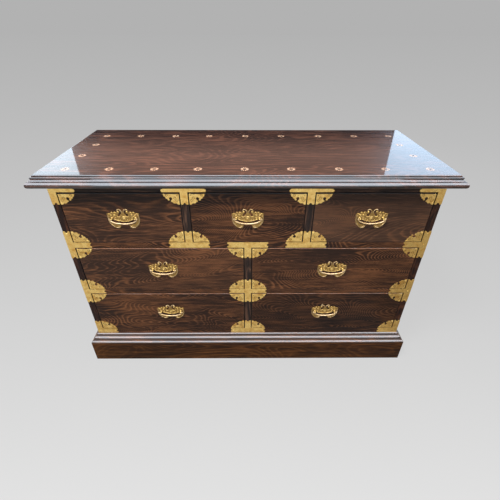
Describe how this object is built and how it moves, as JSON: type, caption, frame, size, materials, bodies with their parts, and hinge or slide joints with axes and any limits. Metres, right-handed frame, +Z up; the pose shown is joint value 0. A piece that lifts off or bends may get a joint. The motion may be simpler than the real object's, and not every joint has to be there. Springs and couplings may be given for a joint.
{
  "type": "chest of drawers",
  "caption": "Wide low chest of drawers in dark wood with sliding drawers, brass medallion mounts, hinged bail handles, a moulded top and a moulded plinth.",
  "frame": {"origin": "on the floor, under the middle of the whole chest's width and depth", "axes": "+X to the right as seen from the front, +Y to the back, +Z up; the drawers open along -Y"},
  "size_m": [1.27, 0.516, 0.795],
  "materials": {
    "case_wood": "dark red-brown stain under gloss lacquer, straight grain",
    "dark_wood": "near-black stain under satin lacquer, straight grain",
    "front_wood": "brown stain over strong cathedral grain, gloss lacquer",
    "box_wood": "pale secondary wood, bare",
    "mount_brass": "polished yellow brass sheet",
    "handle_brass": "paler cast brass, lightly aged"
  },
  "bodies": {
    "carcass": {"top_board": "case_wood", "plinth_front": "case_wood", "plinth_left": "case_wood", "plinth_right": "case_wood", "side_left": "dark_wood", "side_right": "dark_wood", "partition_upper_left": "dark_wood", "partition_upper_right": "dark_wood", "partition_middle": "dark_wood", "partition_lower": "dark_wood", "frame_top": "dark_wood", "frame_upper": "front_wood", "frame_lower": "front_wood", "rail_bottom": "front_wood", "plinth_back": "box_wood", "back_panel": "box_wood", "floor_panel": "box_wood", "mount_corner_top_left": "mount_brass", "mount_corner_top_right": "mount_brass", "mount_stile_upper_left": "mount_brass", "mount_stile_upper_right": "mount_brass", "mount_stile_lower_left": "mount_brass", "mount_stile_lower_right": "mount_brass", "mount_corner_bottom_left": "mount_brass", "mount_corner_bottom_right": "mount_brass", "mount_divider_head_left": "mount_brass", "mount_divider_head_right": "mount_brass", "mount_divider_foot_left": "mount_brass", "mount_divider_foot_right": "mount_brass", "mount_centre_head": "mount_brass", "mount_centre_cross": "mount_brass", "mount_centre_foot": "mount_brass"},
    "drawer_upper_left": {"drawer_front_upper_left": "front_wood", "drawer_box_upper_left": "box_wood", "handle_plate_upper_left": "handle_brass"},
    "bail_upper_left": {"bail_upper_left": "handle_brass"},
    "drawer_upper_centre": {"drawer_front_upper_centre": "front_wood", "drawer_box_upper_centre": "box_wood", "handle_plate_upper_centre": "handle_brass"},
    "bail_upper_centre": {"bail_upper_centre": "handle_brass"},
    "drawer_upper_right": {"drawer_front_upper_right": "front_wood", "drawer_box_upper_right": "box_wood", "handle_plate_upper_right": "handle_brass"},
    "bail_upper_right": {"bail_upper_right": "handle_brass"},
    "drawer_middle_left": {"drawer_front_middle_left": "front_wood", "drawer_box_middle_left": "box_wood", "handle_plate_middle_left": "handle_brass"},
    "bail_middle_left": {"bail_middle_left": "handle_brass"},
    "drawer_middle_right": {"drawer_front_middle_right": "front_wood", "drawer_box_middle_right": "box_wood", "handle_plate_middle_right": "handle_brass"},
    "bail_middle_right": {"bail_middle_right": "handle_brass"},
    "drawer_lower_left": {"drawer_front_lower_left": "front_wood", "drawer_box_lower_left": "box_wood", "handle_plate_lower_left": "handle_brass"},
    "bail_lower_left": {"bail_lower_left": "handle_brass"},
    "drawer_lower_right": {"drawer_front_lower_right": "front_wood", "drawer_box_lower_right": "box_wood", "handle_plate_lower_right": "handle_brass"},
    "bail_lower_right": {"bail_lower_right": "handle_brass"}
  },
  "joints": [
    {"name": "drawer_upper_left_slide", "type": "slide", "parent": "carcass", "child": "drawer_upper_left", "axis": [0, -1, 0], "range_m": [0, 0.33]},
    {"name": "bail_upper_left_hinge", "type": "hinge", "parent": "drawer_upper_left", "child": "bail_upper_left", "pos_m": [-0.3895, -0.227, 0.646], "axis": [-1, 0, 0], "range_deg": [-8, 85]},
    {"name": "drawer_upper_centre_slide", "type": "slide", "parent": "carcass", "child": "drawer_upper_centre", "axis": [0, -1, 0], "range_m": [0, 0.33]},
    {"name": "bail_upper_centre_hinge", "type": "hinge", "parent": "drawer_upper_centre", "child": "bail_upper_centre", "pos_m": [0, -0.227, 0.646], "axis": [-1, 0, 0], "range_deg": [-8, 85]},
    {"name": "drawer_upper_right_slide", "type": "slide", "parent": "carcass", "child": "drawer_upper_right", "axis": [0, -1, 0], "range_m": [0, 0.33]},
    {"name": "bail_upper_right_hinge", "type": "hinge", "parent": "drawer_upper_right", "child": "bail_upper_right", "pos_m": [0.3895, -0.227, 0.646], "axis": [-1, 0, 0], "range_deg": [-8, 85]},
    {"name": "drawer_middle_left_slide", "type": "slide", "parent": "carcass", "child": "drawer_middle_left", "axis": [0, -1, 0], "range_m": [0, 0.33]},
    {"name": "bail_middle_left_hinge", "type": "hinge", "parent": "drawer_middle_left", "child": "bail_middle_left", "pos_m": [-0.293, -0.227, 0.44525], "axis": [-1, 0, 0], "range_deg": [-8, 85]},
    {"name": "drawer_middle_right_slide", "type": "slide", "parent": "carcass", "child": "drawer_middle_right", "axis": [0, -1, 0], "range_m": [0, 0.33]},
    {"name": "bail_middle_right_hinge", "type": "hinge", "parent": "drawer_middle_right", "child": "bail_middle_right", "pos_m": [0.293, -0.227, 0.44525], "axis": [-1, 0, 0], "range_deg": [-8, 85]},
    {"name": "drawer_lower_left_slide", "type": "slide", "parent": "carcass", "child": "drawer_lower_left", "axis": [0, -1, 0], "range_m": [0, 0.33]},
    {"name": "bail_lower_left_hinge", "type": "hinge", "parent": "drawer_lower_left", "child": "bail_lower_left", "pos_m": [-0.293, -0.227, 0.2445], "axis": [-1, 0, 0], "range_deg": [-8, 85]},
    {"name": "drawer_lower_right_slide", "type": "slide", "parent": "carcass", "child": "drawer_lower_right", "axis": [0, -1, 0], "range_m": [0, 0.33]},
    {"name": "bail_lower_right_hinge", "type": "hinge", "parent": "drawer_lower_right", "child": "bail_lower_right", "pos_m": [0.293, -0.227, 0.2445], "axis": [-1, 0, 0], "range_deg": [-8, 85]}
  ]
}
